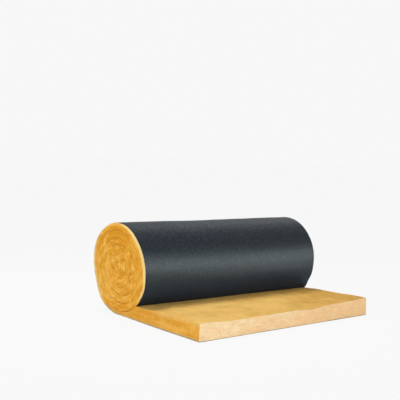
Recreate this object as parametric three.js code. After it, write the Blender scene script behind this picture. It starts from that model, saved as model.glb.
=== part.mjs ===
// Glass-wool insulation roll with a black fleece facing, partly unrolled. Millimetres, +Z up.
// The roll rests on z = 0 with its axis along X. Its free end lies flat towards -Y and is cut square.
// The blanket is one strip. It starts at the cut end, passes under the roll, climbs the back and
// winds inwards to the core. The fleece is bonded to the strip's outer side, so it lies under the
// free end, round the roll and between all the turns.
import * as THREE from "three";

// The stock.
const blanketWidth = 1200;
const blanketThickness = 85; // where nothing presses on the wool, fleece included
const facingThickness = 0.8;
const bareMargin = 8; // the fleece is flush with the wool's +X edge and this far short of the other

// The winding.
const rollRadius = 240; // from the axis down to the floor
const turnPitch = 42; // what a turn takes up in the roll, where the wool is squeezed to half
const coreRadius = 34; // the wool inside this is folded on itself and leaves no bore
const freeLength = 650; // from below the axis to the cut end
const nipDip = 8; // the roll's weight presses the free end down by this much where they meet
const dipLength = 130; // the free end has its full thickness from this far in front of the roll

// The wool's edges swell over the fleece between the turns, which leaves a rounded groove there.
const edgeRounding = 4; // across the blanket's thickness
const edgeDepth = 7; // along X
const edgeSteps = 2;

const layerClearance = 0.3; // between the fleece and the wool on either side of it
const stepsPerTurn = 60;
const dipSteps = 8;

// The strip's outer side is followed by its turn: 0 where it leaves the floor below the axis, 0.25 at
// the back, 0.5 on top, 0.75 at the front, and 1 below the axis again, now inside the roll. The first
// turn draws in by the square of the way round. So it leaves the floor level, and comes to the rate
// of the turns inside it, which is one pitch a turn.
function woundRadius(turn) {
  return turn < 1
    ? rollRadius - (turnPitch * turn * turn) / 2
    : rollRadius - turnPitch * (turn - 0.5);
}

// The point of the section, as (Y, Z), that lies this far inside the strip's outer side.
function woundPoint(turn, inside) {
  const radius = woundRadius(turn) - inside;
  const angle = 2 * Math.PI * turn;
  return new THREE.Vector2(radius * Math.sin(angle), rollRadius - radius * Math.cos(angle));
}

// The nip is the turn at which the front of the roll comes down to the top of the free end.
function findNipTurn() {
  let above = 0.75;
  let below = 1;
  for (let halving = 0; halving < 40; halving++) {
    const middle = (above + below) / 2;
    if (woundPoint(middle, 0).y > blanketThickness - nipDip) above = middle;
    else below = middle;
  }
  return above;
}

const nipTurn = findNipTurn();
const facingTurns = 0.5 + (rollRadius - coreRadius) / turnPitch;
const slotTurns = facingTurns + layerClearance / (2 * Math.PI * coreRadius);

// The turns at which each outline has a corner. They are counted from the nip, so that it is one of
// them, and so that the fleece and the slot that holds it keep parallel sides.
function cornersBetween(from, to) {
  const turns = [from];
  const stepsBefore = Math.floor((nipTurn - from) * stepsPerTurn);
  for (let step = -stepsBefore; nipTurn + step / stepsPerTurn < to; step++) {
    const turn = nipTurn + step / stepsPerTurn;
    if (turn > from) turns.push(turn);
  }
  turns.push(to);
  return turns;
}

function woundSide(from, to, inside) {
  return cornersBetween(from, to).map((turn) => woundPoint(turn, inside));
}

// The top of the free end, from the nip to where it is level.
function dippedTop() {
  const start = woundPoint(nipTurn, -layerClearance);
  const points = [];
  for (let step = 1; step <= dipSteps; step++) {
    const share = step / dipSteps;
    const risen = (1 - Math.cos(Math.PI * share)) / 2;
    const height = start.y + (blanketThickness - start.y) * risen;
    points.push(new THREE.Vector2(start.x - dipLength * share, height));
  }
  return points;
}

// The wool fills the section but for one narrow slot, which winds inwards from the nip.
function woolOutline() {
  const fleeceSide = facingThickness + layerClearance;
  return [
    new THREE.Vector2(-freeLength, fleeceSide),
    ...woundSide(0, slotTurns, fleeceSide),
    ...woundSide(nipTurn, slotTurns, -layerClearance).reverse(),
    ...dippedTop(),
    new THREE.Vector2(-freeLength, blanketThickness),
  ];
}

// The fleece lies on the floor under the free end and then fills the slot.
function facingOutline() {
  return [
    new THREE.Vector2(-freeLength, 0),
    ...woundSide(0, facingTurns, 0),
    ...woundSide(0, facingTurns, facingThickness).reverse(),
    new THREE.Vector2(-freeLength, facingThickness),
  ];
}

// Turns an extrusion's x, y and z into Y, Z and X.
const sectionToObject = new THREE.Matrix4().makeBasis(
  new THREE.Vector3(0, 1, 0),
  new THREE.Vector3(0, 0, 1),
  new THREE.Vector3(1, 0, 0),
);

function makeWoolBlanket() {
  const geometry = new THREE.ExtrudeGeometry(new THREE.Shape(woolOutline()), {
    depth: blanketWidth - 2 * edgeDepth,
    bevelThickness: edgeDepth,
    bevelSize: edgeRounding,
    bevelOffset: -edgeRounding,
    bevelSegments: edgeSteps,
  });
  geometry.applyMatrix4(sectionToObject);
  geometry.translate(edgeDepth - blanketWidth / 2, 0, 0);
  const glassWool = new THREE.MeshStandardMaterial({ color: 0xe2a548, roughness: 0.95, metalness: 0 });
  const mesh = new THREE.Mesh(geometry, glassWool);
  mesh.name = "wool_blanket";
  return mesh;
}

function makeFacing() {
  const geometry = new THREE.ExtrudeGeometry(new THREE.Shape(facingOutline()), {
    depth: blanketWidth - bareMargin,
    bevelEnabled: false,
  });
  geometry.applyMatrix4(sectionToObject);
  geometry.translate(bareMargin - blanketWidth / 2, 0, 0);
  const blackFleece = new THREE.MeshStandardMaterial({ color: 0x34393d, roughness: 0.7, metalness: 0 });
  const mesh = new THREE.Mesh(geometry, blackFleece);
  mesh.name = "facing";
  return mesh;
}

const insulationRoll = new THREE.Group();
insulationRoll.add(makeWoolBlanket(), makeFacing());

// The origin is on the floor, below the middle of the object's box.
const box = new THREE.Box3().setFromObject(insulationRoll);
insulationRoll.position.y = -(box.min.y + box.max.y) / 2;

export default insulationRoll;
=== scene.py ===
import math

import bmesh
import bpy
from mathutils import Matrix, Vector, noise


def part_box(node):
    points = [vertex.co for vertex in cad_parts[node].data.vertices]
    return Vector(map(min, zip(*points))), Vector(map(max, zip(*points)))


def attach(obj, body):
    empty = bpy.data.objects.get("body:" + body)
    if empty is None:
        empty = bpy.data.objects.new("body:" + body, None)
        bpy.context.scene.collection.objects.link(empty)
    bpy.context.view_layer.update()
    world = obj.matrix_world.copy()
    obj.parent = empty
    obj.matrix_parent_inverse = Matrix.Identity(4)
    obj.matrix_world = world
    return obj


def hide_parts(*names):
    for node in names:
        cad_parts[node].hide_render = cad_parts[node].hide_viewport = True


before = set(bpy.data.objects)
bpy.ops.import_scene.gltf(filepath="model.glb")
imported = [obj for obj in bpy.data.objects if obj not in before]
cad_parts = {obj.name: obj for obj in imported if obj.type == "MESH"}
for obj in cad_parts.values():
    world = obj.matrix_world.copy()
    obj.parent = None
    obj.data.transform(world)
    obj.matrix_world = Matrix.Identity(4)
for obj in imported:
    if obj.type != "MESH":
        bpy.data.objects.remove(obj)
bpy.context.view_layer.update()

print("frame loaded:", ", ".join(sorted(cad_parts)))

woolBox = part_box("wool_blanket")

# how the blanket is wound, in metres; the roll's axis runs along X
winding = {
    "radius": 0.24,  # from the axis down to the floor
    "pitch": 0.042,  # what one squeezed turn takes up
    "freeLength": 0.65,  # flat part, from under the axis to the cut end
    "freeThick": 0.085,  # full thickness, fleece included
    "nipDip": 0.008,  # how far the roll presses the free end down
    "dipLength": 0.13,  # from the roll to where it has its full thickness again
    "fleeceThick": 0.0008,
    "bareMargin": 0.008,  # the fleece is this far short of the wool's left end
    "fleeceCore": 0.034,  # it ends at this radius
    "woolCore": 0.004,  # and the wool at this one
    "clearance": 0.0003,
    "cutSkew": 0.017,  # the cut end is this much out of square at each corner
}
halfWidth = woolBox[1][0]
width = 2 * halfWidth
axisY = woolBox[0][1] + winding["freeLength"]


def woundRadius(turn):
    if turn < 1:
        return winding["radius"] - winding["pitch"] * turn * turn / 2
    return winding["radius"] - winding["pitch"] * (turn - 0.5)


def turnAt(radius):
    return 0.5 + (winding["radius"] - radius) / winding["pitch"]


def woundPoint(turn, inside):  # (y, z), this far inside the strip's outer side
    radius = woundRadius(turn) - inside
    angle = 2 * math.pi * turn
    return axisY + radius * math.sin(angle), winding["radius"] - radius * math.cos(angle)


def findNipTurn():  # where the roll comes down to the free end
    above, below = 0.75, 1.0
    for halving in range(40):
        middle = (above + below) / 2
        if woundPoint(middle, 0)[1] > winding["freeThick"] - winding["nipDip"]:
            above = middle
        else:
            below = middle
    return above


nipTurn = findNipTurn()
nipY, nipZ = woundPoint(nipTurn, -winding["clearance"])
fleeceTurn = turnAt(winding["fleeceCore"])
coreTurn = turnAt(winding["woolCore"])
cutY = axisY - winding["freeLength"]


def smooth(low, high, value):
    t = min(max((value - low) / (high - low), 0), 1)
    return t * t * (3 - 2 * t)


def fade(low, high, value):
    return 1 - smooth(low, high, value)


def hump(low, high, value):  # 0 at both ends, 1 in the middle
    return math.sin(math.pi * min(max((value - low) / (high - low), 0), 1)) ** 2


def bell(place, spread, value):
    return math.exp(-((value - place) / spread) ** 2)


def mixed(a, b, share):
    return [first + (second - first) * share for first, second in zip(a, b)]


def wobble(x, y, z, size, seed):  # -1 to 1
    return noise.noise(Vector((x / size + seed, y / size + seed * 1.7, z / size - seed)))


def drift(along, size, row, layer=0):  # -1 to 1, along the strip
    return noise.noise(Vector((along / size, row, layer)))


def fromAxis(y, z):
    return Vector((y - axisY, z - winding["radius"]))


def turnOf(offset):  # the way round the axis, from 0 to 1
    return math.atan2(offset.x, -offset.y) / (2 * math.pi) % 1


def addObject(name, data):
    added = bpy.data.objects.new(name, data)
    bpy.context.scene.collection.objects.link(added)
    return added


lens = {
    "focalPixels": 834.8,
    "framePixels": 400,
    "farthest": 100,
    "place": (-2.97504, -3.542409, 0.913406),  # Y counted from the roll's axis
    "yaw": 39.19,
    "pitch": 4.076,
    "roll": 2.365,
}


def addCamera():
    yaw, pitch, roll = (math.radians(lens[key]) for key in ("yaw", "pitch", "roll"))
    level = math.cos(pitch)
    forward = Vector((math.sin(yaw) * level, math.cos(yaw) * level, -math.sin(pitch)))
    right = Vector((math.cos(yaw), -math.sin(yaw), 0))
    up = right.cross(forward)
    tiltedRight = right * math.cos(roll) + up * math.sin(roll)
    tiltedUp = up * math.cos(roll) - right * math.sin(roll)
    data = bpy.data.cameras.new("camera")
    data.lens = lens["focalPixels"] * data.sensor_width / lens["framePixels"]
    data.clip_end = lens["farthest"]
    camera = addObject("camera", data)
    turn = Matrix((tiltedRight, tiltedUp, -forward)).transposed().to_4x4()
    place = Vector(lens["place"]) + Vector((0, axisY, 0))
    camera.matrix_world = Matrix.Translation(place) @ turn
    bpy.context.scene.camera = camera


addCamera()
print("camera placed")


# how far the soft blanket strays from the plain winding; a pair is where a change starts and ends
soft = {
    "rollSwell": 0.0016,  # slow swells on the roll
    "rollSwellSize": 0.21,
    "rollSwellZ": (0.09, 0.19),
    "ringWander": 0.007,  # the turns inside don't lie in even rings
    "ringWanderSize": 0.085,
    "ringStretch": 6,
    "ringDepth": (0, 0.045),
    "lean": 0.023,  # the top of the roll's left end stands out this much
    "leanZ": (0.1, 0.45),
    "leanX": (-halfWidth, 0.45),
    "still": 0.002,  # the wool this near the axis only leans
    "stiffCore": 0.02,
    "offAxis": (0.02, 0.13),
    "sagBack": 0.008,  # low down the roll spreads
    "sagBackZ": (-0.06, 0.17),
    "sagFront": 0.004,
    "sagFrontZ": (0.09, 0.24),
    "nipBulge": 0.013,  # it bulges over the free end towards the right
    "nipBulgeX": (-halfWidth, 0.3),
    "nipSink": 0.0035,  # and sinks into it towards the left
    "nipSinkX": (-0.35, 0.25),
    "nipTop": 0.13,
    "nipReach": (0.17, 0.29),
    "flare": 0.0065,  # near the left end the last turn is looser on top
    "flareTurns": (0.36, 0.86),
    "flareZ": (0.12, 0.25),
    "flareX": (-halfWidth, -0.05),
    "topSwell": 0.0032,  # the free end's top
    "topSwellSize": 0.13,
    "topLump": 0.0007,
    "topLumpSize": 0.034,
    "lumpStretch": 2.5,
    "topLoosens": 0.12,
    "dipsReach": 0.11,
    "cornerRise": 0.009,  # the free end is thicker at its right corner
    "cornerX": (0.2, 0.58),
    "cornerReach": 0.33,
    "leftX": (-0.58, -0.44),
    "leftLoosens": 0.05,
    "edgeWander": 0.003,  # the long edges and the turns' ends stray sideways
    "edgeWanderSize": 0.24,
    "cutWander": 0.0022,
    "cutWanderSize": 0.2,
    "cutTorn": 0.3,
    "nearEdge": 0.03,  # how far in from an edge its relief is felt
    "dome": 0.0012,  # a turn's end bulges between the two fleeces
    "layerRelief": 0.001,  # torn layers on the cut faces
    "layerLength": 0.04,
    "layerThick": 0.0062,
    "lump": 0.0022,
    "lumpSize": 0.024,
    "tuft": 0.0013,
    "tuftSize": 0.0105,
    "torn": 0.9,  # how much of the lumps and tufts the roll's ends have
    "tornFree": 0.22,  # and the free end's long edges
    "tornRuns": 0.12,
}
# low places of the free end's top, along the cut: x, half width, depth
frontDips = [(-0.27, 0.2, 0.005), (0.135, 0.085, 0.0085), (0.41, 0.08, 0.001)]
# how its left edge sinks near the roll and rises further out: y, half width, height
leftRises = [(-0.05, 0.058, -0.01), (-0.34, 0.1, 0.0085)]
# creases and pits in the roll's left end, and tufts that stand out of it:
# y from the axis, z, half width, half height, depth
endMarks = [
    (-0.117, 0.32, 0.011, 0.009, 0.014), (0.054, 0.24, 0.009, 0.008, 0.015),
    (-0.04, 0.293, 0.017, 0.005, 0.0055), (-0.13, 0.243, 0.007, 0.009, 0.008),
    (-0.102, 0.229, 0.009, 0.008, 0.012), (0.012, 0.16, 0.022, 0.005, 0.006),
    (0.04, 0.171, 0.01, 0.005, 0.006), (-0.02, 0.118, 0.03, 0.004, 0.005),
    (-0.095, 0.19, 0.006, 0.009, 0.005), (0.085, 0.2, 0.006, 0.012, 0.004),
    (0.101, 0.335, 0.01, 0.01, -0.004), (-0.098, 0.325, 0.008, 0.007, -0.005),
    (0.119, 0.372, 0.008, 0.008, -0.003), (-0.03, 0.178, 0.018, 0.006, -0.0045),
    (0.079, 0.253, 0.007, 0.018, -0.0035), (0.03, 0.262, 0.008, 0.006, -0.003),
    (-0.12, 0.205, 0.02, 0.005, -0.003), (-0.128, 0.255, 0.006, 0.01, -0.004),
    (-0.08, 0.28, 0.007, 0.006, -0.0035), (0.037, 0.187, 0.01, 0.007, -0.0035),
    (0.073, 0.065, 0.01, 0.01, -0.003), (-0.021, 0.068, 0.035, 0.004, 0.0025),
    (0.05, 0.357, 0.016, 0.005, 0.0065), (0.01, 0.368, 0.018, 0.005, 0.0065),
    (-0.03, 0.368, 0.018, 0.005, 0.0065), (-0.062, 0.36, 0.014, 0.005, 0.0065),
    (-0.098, 0.345, 0.016, 0.006, 0.004), (0.03, 0.353, 0.022, 0.004, -0.0035),
    (-0.02, 0.357, 0.022, 0.004, -0.0035),
]
# pale patches of the wool, and deep ones, some of them painted light and shade as noted, each as two
# places, two sizes and a strength:
# on the roll's left end and the free side these are y from the axis and z
endTints = [
    (0.09, 0.265, 0.016, 0.05, 0.9), (0.115, 0.33, 0.018, 0.02, 0.5), (0.175, 0.165, 0.02, 0.04, 0.7),
    (0.115, 0.16, 0.02, 0.03, 0.5), (-0.02, 0.26, 0.02, 0.02, 0.5), (-0.135, 0.31, 0.022, 0.03, 0.4),
    (-0.115, 0.29, 0.03, 0.05, -0.5), (-0.01, 0.178, 0.035, 0.012, 0.8),
    # the deep patch at z 0.425 darkens the top of the left end: painted shade
    (-0.2, 0.225, 0.018, 0.03, 0.5), (-0.04, 0.11, 0.03, 0.015, 0.4), (0, 0.425, 0.09, 0.032, -1),
    (0.16, 0.355, 0.02, 0.03, -0.6), (-0.04, 0.218, 0.03, 0.012, -0.9),
    (-0.05, 0.292, 0.02, 0.015, -0.5), (-0.045, 0.05, 0.05, 0.012, -0.5),
    (-0.175, 0.145, 0.02, 0.025, -0.6), (0.145, 0.255, 0.015, 0.03, -0.4),
    (0.11, 0.115, 0.045, 0.035, 0.5), (0.01, 0.075, 0.07, 0.015, 0.5), (-0.01, 0.33, 0.05, 0.02, -0.3),
    (-0.175, 0.25, 0.03, 0.06, -0.4), (-0.085, 0.4, 0.05, 0.03, -0.4), (0.2, 0.29, 0.02, 0.06, 0.4),
    (0.165, 0.095, 0.012, 0.02, 0.6), (0.073, 0.065, 0.014, 0.012, 0.5),
    (0.008, 0.371, 0.04, 0.006, -0.7), (0.01, 0.356, 0.035, 0.005, 0.7),
    (-0.06, 0.362, 0.016, 0.007, -0.6),
]
sideTints = [
    (-0.42, 0.056, 0.2, 0.01, -0.8), (-0.44, 0.026, 0.14, 0.01, 0.7), (-0.62, 0.05, 0.06, 0.03, 0.5),
    (-0.6, 0.02, 0.07, 0.012, -0.8), (-0.22, 0.06, 0.03, 0.01, -0.8), (-0.12, 0.04, 0.05, 0.014, 0.6),
    (-0.37, 0.059, 0.02, 0.01, 0.8), (-0.37, 0.024, 0.03, 0.012, 0.5),
    (-0.49, 0.045, 0.03, 0.008, -0.7), (-0.53, 0.037, 0.03, 0.008, 0.6),
    (-0.17, 0.031, 0.03, 0.01, -0.5), (-0.51, 0.012, 0.04, 0.006, 0.6),
]
topTintsAndNipShadow = [  # x, and y from the axis
    (0.52, -0.46, 0.16, 0.18, -1.4), (0.2, -0.55, 0.12, 0.05, -0.6), (-0.1, -0.52, 0.14, 0.04, -0.3),
    (-0.55, -0.62, 0.16, 0.06, 1.4), (0.02, -0.5, 0.12, 0.05, 0.5), (-0.3, -0.4, 0.25, 0.08, 0.4),
    # the three at y -0.285 darken the top along the nip: painted shadow of the roll
    (-0.5, -0.285, 0.12, 0.035, -0.5), (0.5, -0.285, 0.12, 0.035, -0.6), (0, -0.285, 0.4, 0.03, -0.35),
    (0.13, -0.41, 0.06, 0.03, 0.6), (0.18, -0.5, 0.08, 0.02, -0.5), (0.4, -0.53, 0.07, 0.03, 0.9),
    (-0.25, -0.41, 0.06, 0.03, -0.5), (-0.23, -0.62, 0.06, 0.02, -0.4), (-0.08, -0.6, 0.05, 0.02, -0.4),
]
cutTintsAndLightFalloff = [  # x and z; the pale patch at the left and the deep one at the right are painted light falling off from left to right
    (-0.5, 0.045, 0.22, 0.06, 0.9), (-0.1, 0.05, 0.22, 0.05, 0.3), (0.52, 0.045, 0.24, 0.06, -0.9),
    (0.2, 0.06, 0.1, 0.02, -0.4), (0.14, 0.025, 0.16, 0.02, -0.6),
]
endBands = [  # in the upper part of the roll's left end, the way round and the radius
    (0.49, 0.212, 0.07, 0.007, -1), (0.5, 0.193, 0.08, 0.006, -1), (0.505, 0.161, 0.11, 0.006, -1),
    (0.52, 0.132, 0.09, 0.006, -0.7), (0.49, 0.177, 0.08, 0.006, 0.5), (0.08, 0.19, 0.06, 0.007, -0.5),
]


def patches(marks, u, v):
    return sum(strength * bell(placeU, sizeU, u) * bell(placeV, sizeV, v)
               for placeU, placeV, sizeU, sizeV, strength in marks)


def endMark(y, z):
    return patches(endMarks, y - axisY, z)


def rollSwell(x, y, z):  # how far the roll's surface moves away from the axis
    lift = smooth(*soft["rollSwellZ"], z)
    if lift == 0:
        return 0
    size = soft["rollSwellSize"]
    slow = wobble(x, y, z, size, seed=3.1) + 0.4 * wobble(x, y, z, size / 3, seed=8.7)
    return soft["rollSwell"] * slow * lift


def settled(x, y, z):  # moves a point of the plain winding to where the soft roll has it
    offset = fromAxis(y, z)
    leaning = soft["lean"] * smooth(*soft["leanZ"], z) * fade(*soft["leanX"], x)
    if offset.length < soft["still"]:
        return x - leaning, y, z
    turn = turnOf(offset)
    flare = soft["flare"] * hump(*soft["flareTurns"], turn) * smooth(*soft["flareZ"], z)
    flare *= fade(*soft["flareX"], x)
    outward = rollSwell(x, y, z) + flare
    moved = offset * (1 + outward / max(offset.length, soft["stiffCore"]))
    behind = smooth(*soft["offAxis"], offset.x)
    inFront = smooth(*soft["offAxis"], -offset.x)
    moved.x += soft["sagBack"] * hump(*soft["sagBackZ"], z) * behind
    moved.x -= soft["sagFront"] * hump(*soft["sagFrontZ"], z) * inFront
    atNip = smooth(0, nipZ, z) * fade(nipZ, soft["nipTop"], z)
    atNip *= inFront * fade(*soft["nipReach"], -offset.x)
    moved.x -= soft["nipBulge"] * atNip * smooth(*soft["nipBulgeX"], x)
    moved.y -= soft["nipSink"] * atNip * fade(*soft["nipSinkX"], x)
    inside = smooth(*soft["ringDepth"], woundRadius(turn) - offset.length)
    if inside > 0:
        size = soft["ringWanderSize"]
        stray = soft["ringWander"] * inside
        slowX = x / soft["ringStretch"]
        moved.x += stray * wobble(slowX, y, z, size, seed=12.4)
        moved.y += stray * wobble(slowX, y, z, size, seed=31.9)
    return x - leaning, axisY + moved.x, winding["radius"] + moved.y


def skewed(x, y):
    share = min(max((nipY - y) / (nipY - cutY), 0), 1)  # 0 at the nip, 1 at the cut end
    return y + winding["cutSkew"] * x / halfWidth * share


def freeTop(x, y):
    t = min((nipY - y) / winding["dipLength"], 1)
    height = nipZ + (winding["freeThick"] - nipZ) * (1 - math.cos(math.pi * t)) / 2
    swell = wobble(x, y, 0, soft["topSwellSize"], seed=5.3)
    lump = wobble(x / soft["lumpStretch"], y, 0, soft["topLumpSize"], seed=1.9)
    loose = smooth(0, soft["topLoosens"], nipY - y)
    height += loose * (soft["topSwell"] * swell + soft["topLump"] * lump)
    nearCut = fade(0, soft["dipsReach"], y - cutY)
    for place, spread, depth in frontDips:
        height -= nearCut * depth * bell(place, spread, x)
    nearCorner = smooth(*soft["cornerX"], x) * fade(0, soft["cornerReach"], y - cutY)
    height += soft["cornerRise"] * nearCorner
    nearLeft = fade(*soft["leftX"], x) * smooth(0, soft["leftLoosens"], nipY - y)
    for place, spread, rise in leftRises:
        height += nearLeft * rise * bell(place, spread, y)
    return height


def edgeWander(along, side):
    return soft["edgeWander"] * drift(along, soft["edgeWanderSize"], side * 4.2, 2.5)


def layerRelief(along, across, seed, torn):  # layers are long along the strip and thin across it
    layers = drift(along, soft["layerLength"], across / soft["layerThick"], seed)
    lumps = drift(along, soft["lumpSize"], across / soft["lumpSize"], seed + 9)
    tufts = drift(along, soft["tuftSize"], across / soft["tuftSize"], seed + 23)
    return soft["layerRelief"] * layers + torn * (soft["lump"] * lumps + soft["tuft"] * tufts)


def roundOff(point, size, low, high):
    # rounds the edges of a box that runs from 0 to size; low and high are the radii at its two sides
    middle = [min(max(p, a), s - b) for p, s, a, b in zip(point, size, low, high)]
    radii = [a if p < m else b for p, m, a, b in zip(point, middle, low, high)]
    offset = [(p - m) / r for p, m, r in zip(point, middle, radii)]
    length = math.sqrt(sum(o * o for o in offset))
    if length <= 1:
        return point
    return [m + o / length * r for m, o, r in zip(middle, offset, radii)]


# how finely the blanket is divided
mesh = {
    "nearCut": (0, 0.0015, 0.003, 0.0055, 0.009),  # closer together where the edge is round
    "nearEnds": (0, 0.003, 0.0065, 0.011, 0.017, 0.024, 0.032),
    "middleCells": 5,
    "flatStep": 0.006,
    "woundStep": 0.0055,
    "leastPerTurn": 40,
    "acrossCells": 18,
    "evenShare": 0.45,  # of the spacing across; the rest is closer together at both sides
    "topStep": 0.006,
}


def flatYs(step):  # from the cut end to the nip
    ys = [cutY + near for near in mesh["nearCut"]]
    first = ys[-1]
    count = round((nipY - first) / step)
    return ys + [first + (nipY - first) * i / count for i in range(1, count + 1)]


def woundTurns(start, stop, step):
    turns = [start]
    while True:
        perTurn = max(mesh["leastPerTurn"], 2 * math.pi * woundRadius(turns[-1]) / step)
        if turns[-1] + 1.5 / perTurn >= stop:
            break
        turns.append(turns[-1] + 1 / perTurn)
    return turns + [stop]


def acrossShares(cells):  # 0 to 1, closer together at both sides
    shares = []
    for i in range(cells + 1):
        even = i / cells
        eased = (1 - math.cos(math.pi * even)) / 2
        shares.append(mesh["evenShare"] * even + (1 - mesh["evenShare"]) * eased)
    return shares


def widthPlaces(step):  # fine and coarse places across the width, from 0; coarse is part of fine
    near = mesh["nearEnds"]
    cells = mesh["middleCells"]
    ends = list(near) + [width - n for n in reversed(near)]
    inner = [near[-1] + (width - 2 * near[-1]) * i / cells for i in range(1, cells)]
    coarse = sorted(ends + inner)
    fine = set(coarse)
    for low, high in zip(coarse, coarse[1:]):
        count = max(1, round((high - low) / step))
        fine.update(low + (high - low) * i / count for i in range(1, count))
    return sorted(fine), coarse


def addFace(faces, loop):
    kept = []
    for vertex in loop:
        if vertex not in kept:
            kept.append(vertex)
    if len(kept) > 2:
        faces.append(kept)


def bridge(faces, rowA, rowB):
    # rows are lists of (place, vertex); where one is coarser, its points take fans of the other's
    if len(rowA) < len(rowB):
        rowA, rowB = rowB, rowA
    start = 0
    for (placeLow, low), (placeHigh, high) in zip(rowB, rowB[1:]):
        stop = start
        while rowA[stop][0] < placeHigh - 1e-7:
            stop += 1
        cell = [vertex for place, vertex in rowA[start:stop + 1]]
        if len(cell) == 2:
            addFace(faces, cell + [high, low])
        else:
            middle = len(cell) // 2
            for k in range(len(cell) - 1):
                addFace(faces, [cell[k], cell[k + 1], low if k < middle else high])
            addFace(faces, [low, cell[middle], high])
        start = stop


def newObject(name, vertices, faces):
    data = bpy.data.meshes.new(name)
    data.from_pydata(vertices, [], faces)
    work = bmesh.new()
    work.from_mesh(data)
    bmesh.ops.recalc_face_normals(work, faces=work.faces)
    work.to_mesh(data)
    work.free()
    for polygon in data.polygons:
        polygon.use_smooth = True
    return addObject(name, data)


def addAttributes(piece, vectors, numbers):
    for name, values in vectors.items():
        attribute = piece.data.attributes.new(name, "FLOAT_VECTOR", "POINT")
        attribute.data.foreach_set("vector", [part for value in values for part in value])
    for name, values in numbers.items():
        attribute = piece.data.attributes.new(name, "FLOAT", "POINT")
        attribute.data.foreach_set("value", values)


# how round the wool's edges are, and how its sides meet the fleece between the turns;
# a radius is given across the strip and along X
edges = {
    "free": (0.0055, 0.006),
    "under": (0.0012, 0.0015),  # of the free end's lower edges
    "turn": (0.0024, 0.0026),
    "rim": (0.018, 0.0075),  # the outside edge of the roll
    "core": (0.0006, 0.001),  # of the wool folded in the core
    "pressed": (0.7, 0.9, 0.25),  # a turn's edge keeps this much of its radius: mean, change, least
    "pressedLength": 0.11,
    "rollsBefore": 0.1,  # in front of the nip
    "rimTurns": (0.03, 0.5),
    "rimEnds": (-0.05, 0.01),  # turns from the nip
    "coreBlend": (-2.8, -1.6),  # turns from the wool's inner end
    "innerShare": (0.25, 0.7),  # through the strip, from the outer side's radii to the inner's
    "tuck": 0.0035,  # the hidden sides lie this much deeper than their edges
    "tuckFrom": (0.02, 0.06),  # in from the roll's ends
    "meet": 0.0006,  # and they overlap where there is no fleece
    "meetTurns": 0.03,
    "bareFrom": (0.003, 0.007),
    "centreTurns": 0.55,  # past the wool's inner end
    "centreInside": 0.002,
}


def woolStations():
    under = winding["fleeceThick"] + winding["clearance"]
    stations = []

    def add(kind, outer, inner, along, turn=0):
        stations.append({"kind": kind, "outer": outer, "inner": inner, "along": along, "turn": turn})

    for y in flatYs(mesh["flatStep"]):
        add("free", (y, under), (y, nipZ), y - cutY)
    for turn in woundTurns(nipTurn, 1, mesh["woundStep"])[1:]:
        y, z = woundPoint(turn, -winding["clearance"])
        add("under", (y, under), (y, z), y - cutY)
    along = stations[-1]["along"]
    last = 0
    centre = woundPoint(coreTurn + edges["centreTurns"], edges["centreInside"])
    for turn in woundTurns(0, coreTurn, mesh["woundStep"])[1:]:
        along += 2 * math.pi * woundRadius(turn) * (turn - last)
        last = turn
        if turn + 1 < coreTurn:
            add("wound", woundPoint(turn, under), woundPoint(turn + 1, -winding["clearance"]), along, turn)
        else:
            add("core", woundPoint(turn, under), centre, along, turn)
    return stations


def rimShare(station):  # 1 where a turn's outer side is the outside of the roll
    if station["kind"] in ("free", "under"):
        return 0
    turn = station["turn"]
    return smooth(*edges["rimTurns"], turn) * fade(*edges["rimEnds"], turn - nipTurn)


def coreShare(station, blend):  # 0 in the outer turns, 1 in the core
    return smooth(*blend, station["turn"] - coreTurn)


def edgeRadii(station):  # at the strip's outer side, and at its inner side
    kept, varies, least = edges["pressed"]
    pressed = kept + varies * drift(station["along"], edges["pressedLength"], 6.1)
    turned = [radius * max(pressed, least) for radius in edges["turn"]]
    if station["kind"] in ("free", "under"):
        rolled = smooth(nipY - edges["rollsBefore"], nipY, station["outer"][0])
        return edges["under"], mixed(edges["free"], turned, rolled)
    turned = mixed(turned, edges["core"], coreShare(station, edges["coreBlend"]))
    outer = mixed(edges["under"], turned, smooth(nipTurn, 1, station["turn"]))
    return mixed(outer, edges["rim"], rimShare(station)), turned


def roundedPlace(station, share, place, fromCut, thick):  # from the cut, through the strip, across
    outerEdge, innerEdge = edgeRadii(station)
    room = thick / 2 - 1e-5
    topRoom = thick + (innerEdge[0] if station["kind"] == "core" else 0)
    edge, depth = mixed(outerEdge, innerEdge, smooth(*edges["innerShare"], share))
    return roundOff(
        (fromCut, share * thick, place),
        (fromCut + 1, topRoom, width),  # the far end isn't rounded
        (edge, min(outerEdge[0], room), depth),
        (edge, min(innerEdge[0], room), depth),
    )


def endRelief(station, inside, part, side):  # how far an end of a turn or a long edge stands out
    torn, dome = soft["torn"], 0
    if station["kind"] == "free":
        rolled = smooth(nipY - soft["tornRuns"], nipY, station["outer"][0])
        torn = soft["tornFree"] + (torn - soft["tornFree"]) * rolled
    else:
        dome = soft["dome"] * (1 - coreShare(station, edges["coreBlend"])) * (1 - (2 * part - 1) ** 2)
    relief = layerRelief(station["along"], inside, 3 * side + 11, torn)
    return edgeWander(station["along"], side) + relief + dome


def hiddenTuck(station, share, place):  # the sides keep off the fleece, and meet where there is none
    past = station["turn"] + share - fleeceTurn
    deep = smooth(*edges["tuckFrom"], min(place, width - place))
    bare = fade(*edges["bareFrom"], place)
    tuck = edges["tuck"] * deep * fade(-edges["meetTurns"], 0, past)
    return tuck - edges["meet"] * max(bare, smooth(0, edges["meetTurns"], past))


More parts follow.
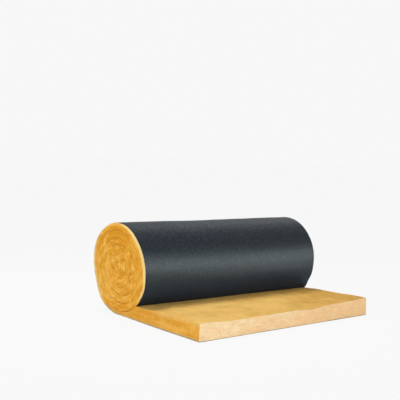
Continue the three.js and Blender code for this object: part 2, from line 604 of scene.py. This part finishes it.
def woolPoint(station, share, place):
    kind = station["kind"]
    outerY, outerZ = station["outer"]
    innerY, innerZ = station["inner"]
    fromCut = 1
    if kind == "free":
        innerZ = freeTop(place - halfWidth, outerY)
        fromCut = min(station["along"], 1)
    thick = math.hypot(innerY - outerY, innerZ - outerZ)
    roundY, roundThrough, roundX = roundedPlace(station, share, place, fromCut, thick)
    part = roundThrough / thick
    x = roundX - halfWidth
    y = outerY + (innerY - outerY) * part
    z = outerZ + (innerZ - outerZ) * part
    if kind == "free":
        y += roundY - fromCut
    side = -1 if x < 0 else 1
    nearEnd = fade(0, soft["nearEdge"], halfWidth - abs(x))
    if nearEnd > 0:
        x += side * endRelief(station, share * thick, part, side) * nearEnd
    nearCut = fade(0, soft["nearEdge"], fromCut)
    if nearCut > 0:
        wander = soft["cutWander"] * wobble(x, 0, 0, soft["cutWanderSize"], seed=6.4)
        y -= nearCut * (wander + layerRelief(x, share * thick, 21, soft["cutTorn"]))
    if kind == "free":
        y = skewed(x, y)
    x, y, z = settled(x, y, z)
    if side < 0 and nearEnd > 0:
        x += nearEnd * endMark(y, z)
    if share in (0, 1) and kind == "wound":
        inwards = hiddenTuck(station, share, place) * (-1 if share == 1 else 1)
        y += (innerY - outerY) / thick * inwards
        z += (innerZ - outerZ) / thick * inwards
    return x, y, z


# pale and deep tones of the wool's faces, some of them painted light and shade, which the material turns
# into colours
tones = {
    "rimTurns": (0.44, 0.56),  # over the top the pale rim takes over from the one behind
    "rimWidens": (0.53, 0.62),
    "rimNarrow": 0.4,  # its share of full width before that
    "rimDwindles": (0.71, 0.79),
    "rimDwindled": 0.55,
    "rimFaint": 0.6,
    "rimReach": (0.002, 0.021),  # in from the strip's outer side
    "backTurns": (0.06, 0.13),  # where the painted shade low down ends and the rim behind starts
    "backSlims": (0.27, 0.4),
    "backSlimmed": 0.5,
    # the rim behind is painted pale to make up for the light it turns away from: painted light
    "backStrength": 0.9,
    "backReach": (0.006, 0.036),
    # painted shade low down on the roll's rim and along the free end's left side, where the wool meets the
    # floor
    "lowShadeStrength": 0.8,
    "lowShadeReach": (0.002, 0.016),
    "lowShadeWidens": 0.2,  # for each turn
    "sideRim": 0.45,  # pale upper part of the free end's left side
    "sideShare": (0.55, 0.95),
    "sideRuns": (-0.2, 0.02),
    "sideLowShade": 0.014,
    "groove": (0.4, 1.1),  # painted shade between the ends of the turns, how dark: mean and change
    "grooveLength": 0.08,
    "grooveReach": (0.001, 0.0075),
    "grooveBlend": (-2.4, -1.4),  # turns from the wool's inner end
    "pitDepth": 0.008,  # a pit this deep gets full painted shade
    # faint patches: sizes along, across and through the strip, and strength
    "patches": ((0.05, 0.09, 0.03, 1), (0.02, 0.035, 0.012, 0.4)),
    "leftShare": 0.5,  # of these on the left, where the wool has marks of its own
    "endPatch": (0.036, 2.7, 0.6),  # size, seed and strength
    "topPatches": ((0.15, 4.4, 0.5), (0.06, 8.2, 0.3)),
}


def limited(value):
    return min(max(value, -1), 1)


def faceOf(station, share, place):  # which of the wool's faces a point is seen on
    free = station["kind"] == "free"
    if station["along"] == 0:
        return "cut"
    if place == 0:
        return "leftSide" if free else "leftEnd"
    if place == width:
        return "rightSide" if free else "rightEnd"
    return "top" if free and share == 1 else "hidden"


def rollRim(station, inside):  # 1 on the pale rim round the roll, with painted light behind; -1 on painted shade low down
    turn = station["turn"]
    overTop = smooth(*tones["rimTurns"], turn)
    wide = tones["rimNarrow"] + (1 - tones["rimNarrow"]) * smooth(*tones["rimWidens"], turn)
    wide *= 1 - tones["rimDwindled"] * smooth(*tones["rimDwindles"], turn)
    strength = tones["rimFaint"] + (1 - tones["rimFaint"]) * wide
    near, far = tones["rimReach"]
    rim = overTop * rimShare(station) * strength * fade(near, far * wide, inside)
    lifted = smooth(*tones["backTurns"], turn)
    slim = 1 - tones["backSlimmed"] * smooth(*tones["backSlims"], turn)
    near, far = tones["backReach"]
    behind = tones["backStrength"] * slim * (1 - overTop) * lifted * fade(near, far * slim, inside)
    near, far = tones["lowShadeReach"]
    lowShade = fade(near, far + tones["lowShadeWidens"] * turn, inside)
    return max(rim, behind) - tones["lowShadeStrength"] * (1 - lifted) * lowShade


def rimTone(station, face, share, inside):
    if face == "cut":
        return 0
    if face != "leftSide":
        return rollRim(station, inside)
    pale = tones["sideRim"] * smooth(*tones["sideShare"], share)
    pale *= fade(*tones["sideRuns"], station["outer"][0])
    return pale - tones["lowShadeStrength"] * fade(0, tones["sideLowShade"], inside)


def grooveTone(station, face, share, thick, rim, point):  # painted shade in grooves and pits, lighter on tufts
    if face not in ("leftEnd", "rightEnd"):
        return 0
    nearSide = min(share, 1 if station["kind"] == "core" else 1 - share) * thick
    mean, change = tones["groove"]
    dark = mean + change * drift(station["along"], tones["grooveLength"], 6.1)
    dark *= 1 - coreShare(station, tones["grooveBlend"])
    shade = fade(*tones["grooveReach"], nearSide) * max(dark, 0) * (1 - max(rim, 0))
    if face == "leftEnd":
        shade += endMark(point[1], point[2]) / tones["pitDepth"]
    return limited(shade)


# patches of tone; among them painted shadow along the nip on the top, painted light falling off across the
# cut and painted shade at the top of the left end
def tintTone(face, strip, point):
    x, y, z = point
    tint = 0
    if face == "top":
        for size, seed, strength in tones["topPatches"]:
            tint += strength * wobble(x, y, 0, size, seed)
        return limited(tint + patches(topTintsAndNipShadow, x, y - axisY))
    for *sizes, strength in tones["patches"]:
        tint += strength * noise.noise(Vector([way / size for way, size in zip(strip, sizes)]))
    if face == "cut":
        tint += patches(cutTintsAndLightFalloff, x, z)
    elif face == "leftSide":
        tint = tones["leftShare"] * tint + patches(sideTints, y - axisY, z)
    elif face == "leftEnd":
        size, seed, strength = tones["endPatch"]
        tint = tones["leftShare"] * tint + strength * wobble(0, y, z, size, seed)
        offset = fromAxis(y, z)
        tint += patches(endTints, y - axisY, z) + patches(endBands, turnOf(offset), offset.length)
    return limited(tint)


def makeWoolBlanket():
    stations = woolStations()
    shares = acrossShares(mesh["acrossCells"])
    lastStation, lastShare = len(stations) - 1, len(shares) - 1
    fine, coarse = widthPlaces(mesh["topStep"])
    vertices, strip, skin, groove, tint, faces = [], [], [], [], [], []
    made = {}

    def vertex(i, j, place):
        station, share = stations[i], shares[j]
        key = (i, j, place)
        if station["kind"] == "core" and j == lastShare:  # the core's turns share one centre
            key = ("centre", place)
        if key not in made:
            made[key] = len(vertices)
            point = woolPoint(station, share, place)
            thick = math.dist(station["outer"], station["inner"])
            inside = share * thick
            onStrip = (station["along"], place, inside)
            face = faceOf(station, share, place)
            rim = rimTone(station, face, share, inside)
            vertices.append(point)
            strip.append(onStrip)
            skin.append((float(face == "top"), float(face == "cut"), rim))
            groove.append(grooveTone(station, face, share, thick, rim, point))
            tint.append(tintTone(face, onStrip, point))
        return made[key]

    def row(i, j, places=None):
        if places is None:
            onTop = j == lastShare and stations[i]["kind"] == "free"
            places = fine if i == 0 or onTop else coarse
        return [(place, vertex(i, j, place)) for place in places]

    for place in (0, width):  # both ends of the roll and long edges of the free end
        for i in range(lastStation):
            for j in range(lastShare):
                corners = ((i, j), (i + 1, j), (i + 1, j + 1), (i, j + 1))
                addFace(faces, [vertex(a, b, place) for a, b in corners])
    for i in range(lastStation):  # the strip's outer and inner sides
        for j in (0, lastShare):
            bridge(faces, row(i, j), row(i + 1, j))
    for j in range(lastShare):  # the cut end
        bridge(faces, row(0, j, fine), row(0, j + 1, fine))
    # the last cell of the core is closed with one face round it
    core = [vertex(lastStation, j, 0) for j in range(lastShare + 1)]
    core += [v for place, v in row(lastStation, lastShare)][1:-1]
    core += [vertex(lastStation, j, width) for j in range(lastShare, -1, -1)]
    core += [v for place, v in row(lastStation, 0)][-2:0:-1]
    addFace(faces, core)

    piece = newObject("woolBlanket", vertices, faces)
    addAttributes(piece, {"strip": strip, "skin": skin}, {"groove": groove, "tint": tint})
    return piece


woolBlanket = makeWoolBlanket()
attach(woolBlanket, "root")
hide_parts("wool_blanket")
print("wool blanket:", len(woolBlanket.data.vertices), "points")


facing = {
    "marginRuns": (0.35, 0.8),  # from the cut end, where the bare margin comes in
    "flatStep": 0.025,
    "roundStep": 0.008,
    "hiddenStep": 0.01,
    "hiddenFrom": 0.01,  # turns past the nip
    "widthStep": 0.01,
    "coarseCells": 6,
    "edgeStray": 0.0008,
    "edgeStraySize": 0.05,
    "sharpAngle": 50,
    # painted fill light: a lighter, bluer albedo on the fleece's lower front, fading towards the right
    "paintedFillReach": (0.05, 0.12),  # in front of the axis
    "paintedFillZ": (0.075, 0.225),
    "paintedFillFades": (-0.2, 0.4),  # from left to right
    "paintedFillFaded": 0.35,
}


def facingStations():  # (outer point, bonded point, along, whether it shows), and the whole length
    thick = winding["fleeceThick"]
    stations = []
    along, last = winding["freeLength"], 0
    count = round(along / facing["flatStep"])
    for i in range(count):
        y = cutY + along * i / count
        stations.append(((y, 0), (y, thick), y - cutY, False))
    hidden = nipTurn + facing["hiddenFrom"]
    turns = woundTurns(0, hidden, facing["roundStep"])
    shown = len(turns)
    turns += woundTurns(hidden, fleeceTurn, facing["hiddenStep"])[1:]
    for k, turn in enumerate(turns):
        along += 2 * math.pi * woundRadius(turn) * (turn - last)
        last = turn
        stations.append((woundPoint(turn, 0), woundPoint(turn, thick), along, k < shown))
    return stations, along


def facingPoint(point, along, share):
    y, z = point
    low = -halfWidth + winding["bareMargin"] * smooth(*facing["marginRuns"], along)
    low += facing["edgeStray"] * drift(along, facing["edgeStraySize"], 3.3)
    low -= edgeWander(along, -1)
    high = halfWidth + edgeWander(along, 1)
    x = low + (high - low) * share
    if along < winding["freeLength"]:
        y = skewed(x, y)
    return settled(x, y, z)


# how much painted fill light the fleece's lower front gets
def paintedFillAt(x, y, z):
    front = smooth(*facing["paintedFillReach"], axisY - y)
    return front * hump(*facing["paintedFillZ"], z) * (1 - facing["paintedFillFaded"] * smooth(*facing["paintedFillFades"], x))


def makeFacing():
    stations, length = facingStations()
    cells = round(width / facing["widthStep"] / facing["coarseCells"]) * facing["coarseCells"]
    fine = [i / cells for i in range(cells + 1)]
    coarse = fine[::cells // facing["coarseCells"]]
    vertices, faces, strip, paintedFill, rows = [], [], [], [], []
    for outer, bonded, along, shown in stations:
        pair = []
        for side, point in enumerate((outer, bonded)):
            row = []
            for share in fine if shown and side == 0 else coarse:
                row.append((share, len(vertices)))
                vertices.append(facingPoint(point, along, share))
                strip.append((along, share * width, side * winding["fleeceThick"]))
                paintedFill.append(0.0 if side else paintedFillAt(*vertices[-1]))
            pair.append(row)
        rows.append(pair)
    for here, there in zip(rows, rows[1:]):
        for side in (0, 1):
            bridge(faces, here[side], there[side])
        for end in (0, -1):
            faces.append([here[0][end][1], there[0][end][1], there[1][end][1], here[1][end][1]])
    for pair in (rows[0], rows[-1]):
        bridge(faces, pair[0], pair[1])
    piece = newObject("fleeceFacing", vertices, faces)
    addAttributes(piece, {"strip": strip}, {"paintedFill": paintedFill})
    piece.data.set_sharp_from_angle(angle=math.radians(facing["sharpAngle"]))
    return piece, length


fleeceFacing, fleeceLength = makeFacing()
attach(fleeceFacing, "root")
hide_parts("facing")
print("facing:", len(fleeceFacing.data.vertices), "points,", round(fleeceLength, 3), "m of fleece")


def addNode(tree, kind, inputs=None, **values):
    node = tree.nodes.new("ShaderNode" + kind)
    for key, value in values.items():
        setattr(node, key, value)
    for key, value in (inputs or {}).items():
        if isinstance(value, bpy.types.NodeSocket):
            tree.links.new(value, node.inputs[key])
        else:
            node.inputs[key].default_value = value
    return node


def addMath(tree, operation, a, b, c=0.0, clamp=False):
    inputs = {0: a, 1: b, 2: c}
    return addNode(tree, "Math", inputs, operation=operation, use_clamp=clamp).outputs[0]


def addVector(tree, operation, a, b):
    second = "Scale" if operation == "SCALE" else 1
    return addNode(tree, "VectorMath", {0: a, second: b}, operation=operation).outputs[0]


def addMix(tree, factor, a, b):
    return addNode(tree, "Mix", {0: factor, 6: a, 7: b}, data_type="RGBA").outputs[2]


def addRange(tree, value, fromLow, fromHigh, toLow=0.0, toHigh=1.0):
    inputs = {0: value, 1: fromLow, 2: fromHigh, 3: toLow, 4: toHigh}
    return addNode(tree, "MapRange", inputs, interpolation_type="SMOOTHSTEP").outputs[0]


def addTone(tree, under, over, value, *span):  # the second colour comes in as the value goes up
    return addMix(tree, addRange(tree, value, *span), under, over)


def addNoise(tree, vector, sizes):
    return addNode(tree, "TexNoise", {"Vector": vector, **sizes}, noise_dimensions="3D").outputs


def addAttribute(tree, name, output="Fac"):
    return addNode(tree, "Attribute", attribute_name=name).outputs[output]


def addBump(tree, shader, strengthAndDepth, height):
    strength, depth = strengthAndDepth
    bump = addNode(tree, "Bump", {"Strength": strength, "Distance": depth, "Height": height})
    tree.links.new(bump.outputs[0], shader.inputs["Normal"])


# the noises that make strands, layers and clumps
fibres = {
    "sizes": ("Length", "Thickness", "Layer", "Wander"),
    "bend": {"Scale": 45.0, "Detail": 2.0},
    "strand": {"Scale": 1.0, "Detail": 2.5, "Roughness": 0.55},
    "layer": {"Scale": 1.0, "Detail": 3.0, "Roughness": 0.6},
    "clump": {"Scale": 16.0, "Detail": 4.0, "Roughness": 0.6},
    "directions": (8, 67, 128),  # degrees
    "apart": (7.3, 3.1, 5.7),  # so that the directions don't repeat one another
    "strandRange": (0.42, 0.78),
    "layerStretch": 0.5,
}


def makeFibreGroup():
    # strands that lie in the blanket's layers, in three directions, with slow clumps
    group = bpy.data.node_groups.new("fibreStrands", "ShaderNodeTree")
    sockets = [("Vector", "INPUT", "Vector")] + [(label, "INPUT", "Float") for label in fibres["sizes"]]
    sockets += [(label, "OUTPUT", "Float") for label in ("Strands", "Layers", "Clumps")]
    for label, way, kind in sockets:
        group.interface.new_socket(name=label, in_out=way, socket_type="NodeSocket" + kind)
    given, out = group.nodes.new("NodeGroupInput"), group.nodes.new("NodeGroupOutput")
    vector, length = given.outputs["Vector"], given.outputs["Length"]
    sizes = [given.outputs[label] for label in ("Length", "Thickness", "Layer")]
    lengthwise, across, layered = [addMath(group, "DIVIDE", 1.0, size) for size in sizes]
    scale = addNode(group, "CombineXYZ", {0: lengthwise, 1: across, 2: layered})
    bend = addNoise(group, vector, fibres["bend"])["Color"]
    centred = addVector(group, "SUBTRACT", bend, (0.5, 0.5, 0.5))
    amount = addMath(group, "MULTIPLY", given.outputs["Wander"], length)
    bent = addVector(group, "ADD", vector, addVector(group, "SCALE", centred, amount))
    strands = None
    for k, degrees in enumerate(fibres["directions"]):
        spun = addNode(group, "VectorRotate", {"Vector": bent, "Angle": math.radians(degrees)},
                       rotation_type="Z_AXIS")
        sized = addVector(group, "MULTIPLY", spun.outputs[0], scale.outputs[0])
        moved = addVector(group, "ADD", sized, [k * apart for apart in fibres["apart"]])
        value = addNoise(group, moved, fibres["strand"])["Fac"]
        strands = value if strands is None else addMath(group, "MAXIMUM", strands, value)
    group.links.new(addRange(group, strands, *fibres["strandRange"]), out.inputs["Strands"])
    stretched = addMath(group, "MULTIPLY", lengthwise, fibres["layerStretch"])
    sheet = addNode(group, "CombineXYZ", {0: stretched, 1: stretched, 2: layered})
    sheets = addVector(group, "MULTIPLY", bent, sheet.outputs[0])
    group.links.new(addNoise(group, sheets, fibres["layer"])["Fac"], out.inputs["Layers"])
    group.links.new(addNoise(group, vector, fibres["clump"])["Fac"], out.inputs["Clumps"])
    return group


fibreGroup = makeFibreGroup()


def addFibres(tree, vector, sizes):
    node = addNode(tree, "Group", node_tree=fibreGroup)
    tree.links.new(vector, node.inputs["Vector"])
    for label, value in zip(fibres["sizes"], sizes):
        node.inputs[label].default_value = value
    return node.outputs


def newMaterial(name):
    material = bpy.data.materials.new(name)
    material.use_nodes = True
    tree = material.node_tree
    return material, tree, tree.nodes["Principled BSDF"]


woolLook = {
    "deep": (0.67, 0.275, 0.013, 1),  # shaded fibres and binder
    "plain": (0.79, 0.39, 0.04, 1),  # edges
    "light": (0.93, 0.58, 0.155, 1),  # combed strands
    "side": (0.74, 0.365, 0.064, 1),  # long edges of the free end
    "topDeep": (0.61, 0.335, 0.062, 1),  # skin of the free end
    "top": (0.9, 0.572, 0.168, 1),
    "topWarm": (0.87, 0.49, 0.12, 1),
    "pale": (0.92, 0.708, 0.432, 1),  # freshly cut end
    "paleDeep": (0.8, 0.505, 0.215, 1),
    "paleBlush": (0.92, 0.59, 0.32, 1),
    "rim": (0.79, 0.585, 0.23, 1),  # outside edge of the roll; behind, partly painted light
    "lowShade": (0.56, 0.42, 0.19, 1),  # painted shade, low down near the floor where the fleece starts
    "pitShade": (0.58, 0.23, 0.02, 1),  # painted shade, deep between the turns and in pits
    "roughness": 0.9,
    "specular": 0.15,
    "bump": (0.5, 0.0012),  # strength and distance
    # fibres by length, thickness, layer and wander
    "broad": (0.024, 0.008, 0.008, 0.5),
    "fine": (0.014, 0.003, 0.0024, 0.4),
    "broadBump": 0.8,
    # the range in which a colour comes in, from none to all of it or between two given shares
    "onSide": (0.38, 0.62, 1.0, 0.0),  # from the cut end; the free end's edges are smoother
    "plainLayers": (0.3, 0.56),
    "lightLayers": (0.48, 0.76, 0.0, 0.9),
    "lightStrands": (0.35, 0.95, 0.0, 0.25),
    "pitShadeInGrooves": (0.0, 1.0, 0.0, 0.7),
    "lightGroove": (-1.0, 0.0, 0.6, 0.0),
    "topClumps": (-0.11, 0.23),
    "warmClumps": (0.4, 0.72, 0.0, 0.55),
    "paleLayers": (0.16, 0.84),
    "blushClumps": (0.42, 0.66, 0.0, 0.45),
    "fineTone": (0.0, 1.0, 0.88, 1.12),
    "layerTint": 0.17,  # how far the tint moves the layers, the clumps and the warmth
    "clumpTint": 0.2,
    "warmTint": -0.2,
    "clumpShare": 0.26,
    "sideCalm": -0.35,
    "sideShare": 0.35,
}


def tornWool(tree, look, broad, layers, onSide, groove):  # edges, with the wool's layers as streaks
    calm = addMath(tree, "MULTIPLY", addMath(tree, "SUBTRACT", broad["Layers"], 0.5), look["sideCalm"])
    calmed = addMath(tree, "MULTIPLY_ADD", calm, onSide, layers)
    body = addTone(tree, look["deep"], look["plain"], calmed, *look["plainLayers"])
    body = addTone(tree, body, look["light"], calmed, *look["lightLayers"])
    body = addMix(tree, addMath(tree, "MULTIPLY", onSide, look["sideShare"]), body, look["side"])
    body = addTone(tree, body, look["light"], broad["Strands"], *look["lightStrands"])
    # painted shade in the grooves and pits, lighter on tufts
    body = addTone(tree, body, look["pitShade"], groove, *look["pitShadeInGrooves"])
    return addTone(tree, body, look["light"], groove, *look["lightGroove"])


def makeWoolMaterial():
    look = woolLook
    material, tree, shader = newMaterial("glassWool")
    strip = addAttribute(tree, "strip", "Vector")
    skin = addAttribute(tree, "skin", "Vector")
    groove = addAttribute(tree, "groove")
    tint = addAttribute(tree, "tint")
    onTop, onCut, onRim = addNode(tree, "SeparateXYZ", {0: skin}).outputs
    broad = addFibres(tree, strip, look["broad"])
    fine = addFibres(tree, strip, look["fine"])
    along = addNode(tree, "SeparateXYZ", {0: strip}).outputs[0]
    onSide = addRange(tree, along, *look["onSide"])
    layers = addMath(tree, "MULTIPLY_ADD", tint, look["layerTint"], broad["Layers"])
    body = tornWool(tree, look, broad, layers, onSide, groove)
    clumps = addMath(tree, "MULTIPLY", tint, look["clumpTint"])
    clumps = addMath(tree, "MULTIPLY_ADD", broad["Clumps"], look["clumpShare"], clumps)
    top = addTone(tree, look["topDeep"], look["top"], clumps, *look["topClumps"])
    warm = addMath(tree, "MULTIPLY_ADD", tint, look["warmTint"], broad["Clumps"])
    top = addTone(tree, top, look["topWarm"], warm, *look["warmClumps"])
    body = addMix(tree, onTop, body, top)
    pale = addTone(tree, look["paleDeep"], look["pale"], layers, *look["paleLayers"])
    pale = addTone(tree, pale, look["paleBlush"], warm, *look["blushClumps"])
    body = addMix(tree, onCut, body, pale)
    body = addTone(tree, body, look["rim"], onRim, 0.0, 1.0)
    body = addTone(tree, body, look["lowShade"], onRim, -1.0, 0.0, 1.0, 0.0)
    toned = addVector(tree, "SCALE", body, addRange(tree, fine["Strands"], *look["fineTone"]))
    tree.links.new(toned, shader.inputs["Base Color"])
    shader.inputs["Roughness"].default_value = look["roughness"]
    shader.inputs["Specular IOR Level"].default_value = look["specular"]
    coarse = addMath(tree, "ADD", broad["Layers"], broad["Strands"])
    height = addMath(tree, "MULTIPLY_ADD", coarse, look["broadBump"], fine["Strands"])
    addBump(tree, shader, look["bump"], height)
    return material


fleeceLook = {
    "sheen": (0.82, 0.96, 1.0, 1),
    "dark": (0.0085, 0.0115, 0.0155, 1),
    "plain": (0.0155, 0.0215, 0.0275, 1),
    "pale": (0.033, 0.042, 0.05, 1),
    "paintedFill": (0.024, 0.037, 0.058, 1),  # painted fill light, lighter and bluer low on the roll's front, above where the roll meets the free end
    "paintedFillShare": 0.65,
    "specular": 0.15,
    "bump": (0.35, 0.0005),
    # fibres and ranges as for the wool
    "broad": (0.02, 0.009, 0.009, 0.5),
    "fine": (0.009, 0.0009, 0.0009, 0.6),
    "plainStrands": (0.15, 0.85),
    "paleStrands": (0.35, 0.95, 0.0, 0.6),
    "roughStrands": (0.1, 0.9, 0.58, 0.48),
}


def makeFleeceMaterial():
    look = fleeceLook
    material, tree, shader = newMaterial("blackFleece")
    strip = addAttribute(tree, "strip", "Vector")
    fine = addFibres(tree, strip, look["fine"])["Strands"]
    broad = addFibres(tree, strip, look["broad"])["Strands"]
    body = addTone(tree, look["dark"], look["plain"], broad, *look["plainStrands"])
    body = addTone(tree, body, look["pale"], fine, *look["paleStrands"])
    # painted fill light, lighter and bluer low on the fleece's front
    paintedFill = addMath(tree, "MULTIPLY", addAttribute(tree, "paintedFill"), look["paintedFillShare"])
    body = addMix(tree, paintedFill, body, look["paintedFill"])
    tree.links.new(body, shader.inputs["Base Color"])
    tree.links.new(addRange(tree, broad, *look["roughStrands"]), shader.inputs["Roughness"])
    shader.inputs["Specular IOR Level"].default_value = look["specular"]
    shader.inputs["Specular Tint"].default_value = look["sheen"]
    addBump(tree, shader, look["bump"], addMath(tree, "ADD", fine, broad))
    return material


woolBlanket.data.materials.append(makeWoolMaterial())
fleeceFacing.data.materials.append(makeFleeceMaterial())
print("materials made")


studio = {
    "floorSize": 60,
    "floorGap": 0.0004,  # between the floor and the roll
    "paper": (0.936, 0.936, 0.936, 1),
    "floorPaper": (0.962, 0.962, 0.962, 1),
    "floor": (0.8, 0.8, 0.8, 1),
    "plainShare": 0.945,  # how much of the floor the camera sees as plain paper
    "light": (1, 1, 1, 1),
    "ambient": 0.42,
}
# name, place, what it points at, size, power, what it gives, spread in degrees and, if need be, the
# direction of its long side; the "gloss" ones are strips behind grids, for the sheen on the fleece
lamps = [
    ("keyLamp", (-5.2, -4.2, 0.9), (-0.2, -0.1, 1.5), (2.6, 1.6), 39.5, "shade", 60),
    ("topLamp", (-0.5, 0.8, 2.2), (-0.2, 0, 0.1), (1.5, 0.45), 31, "shade", 180),
    ("frontLamp", (0.7, -5.0, 1.4), (0.1, -0.4, 0.05), (2.2, 1.0), 55, "shade", 180),
    ("fillLamp", (4.6, 1.6, 0.8), (0.5, 0.1, 1.2), (2.4, 1.4), 6, "shade", 60),
    ("sheenLamp", (1.66, -2.68, 0.58), (0, 0, 0.262), (2.4, 0.16), 2.75, "gloss", 3, (1, 0, -0.015)),
    ("topSheenLamp", (1.92, 1.36, 2.522), (0, 0.157, 0.267), (1.4, 0.3), 0.175, "gloss", 1.5, (1, 0, 0)),
]


def plainRays(tree):  # rays from the camera, and those off gloss or through glass
    path = addNode(tree, "LightPath")
    seen = addMath(tree, "ADD", path.outputs["Is Camera Ray"], path.outputs["Is Glossy Ray"])
    return addMath(tree, "ADD", seen, path.outputs["Is Transmission Ray"], clamp=True)


def addSurface(tree, outKind, factor, lit, seen):  # lit for light, seen for the plain rays
    out = tree.nodes.new(outKind)
    blended = addNode(tree, "MixShader", {0: factor, 1: lit.outputs[0], 2: seen.outputs[0]})
    tree.links.new(blended.outputs[0], out.inputs["Surface"])


def makeFloor():
    half = studio["floorSize"] / 2
    corners = [(-half, -half, 0), (half, -half, 0), (half, half, 0), (-half, half, 0)]
    floor = newObject("floor", corners, [(0, 1, 2, 3)])
    floor.location.z = -studio["floorGap"]
    material, tree = newMaterial("paperFloor")[:2]
    tree.nodes.clear()
    lit = addNode(tree, "BsdfDiffuse", {"Color": studio["floor"]})
    glow = addNode(tree, "Emission", {"Color": studio["floorPaper"], "Strength": 1.0})
    factor = addMath(tree, "MULTIPLY", plainRays(tree), studio["plainShare"])
    addSurface(tree, "ShaderNodeOutputMaterial", factor, lit, glow)
    floor.data.materials.append(material)


def makeWorld():
    world = bpy.data.worlds.new("studio")
    bpy.context.scene.world = world
    world.use_nodes = True
    tree = world.node_tree
    tree.nodes.clear()
    light, ambient, paper = studio["light"], studio["ambient"], studio["paper"]
    lit = addNode(tree, "Background", {"Color": light, "Strength": ambient})
    seen = addNode(tree, "Background", {"Color": paper, "Strength": 1.0})
    addSurface(tree, "ShaderNodeOutputWorld", plainRays(tree), lit, seen)


def addLamp(name, place, target, size, power, gives, spread, along=None):
    data = bpy.data.lights.new(name, "AREA")
    data.shape = "RECTANGLE"
    data.size, data.size_y = size
    data.energy = power
    data.spread = math.radians(spread)
    lamp = addObject(name, data)
    lamp.location = place
    back = (Vector(place) - Vector(target)).normalized()
    side = Vector(along or (-back.y, back.x, 0))
    side = (side - side.dot(back) * back).normalized()
    lamp.rotation_euler = Matrix((side, back.cross(side), back)).transposed().to_euler()
    lamp.visible_camera = False
    lamp.visible_diffuse = gives != "gloss"
    lamp.visible_glossy = gives != "shade"


makeFloor()
makeWorld()
for lamp in lamps:
    addLamp(*lamp)
bpy.context.scene.view_settings.view_transform = "Standard"
print("floor and light placed")
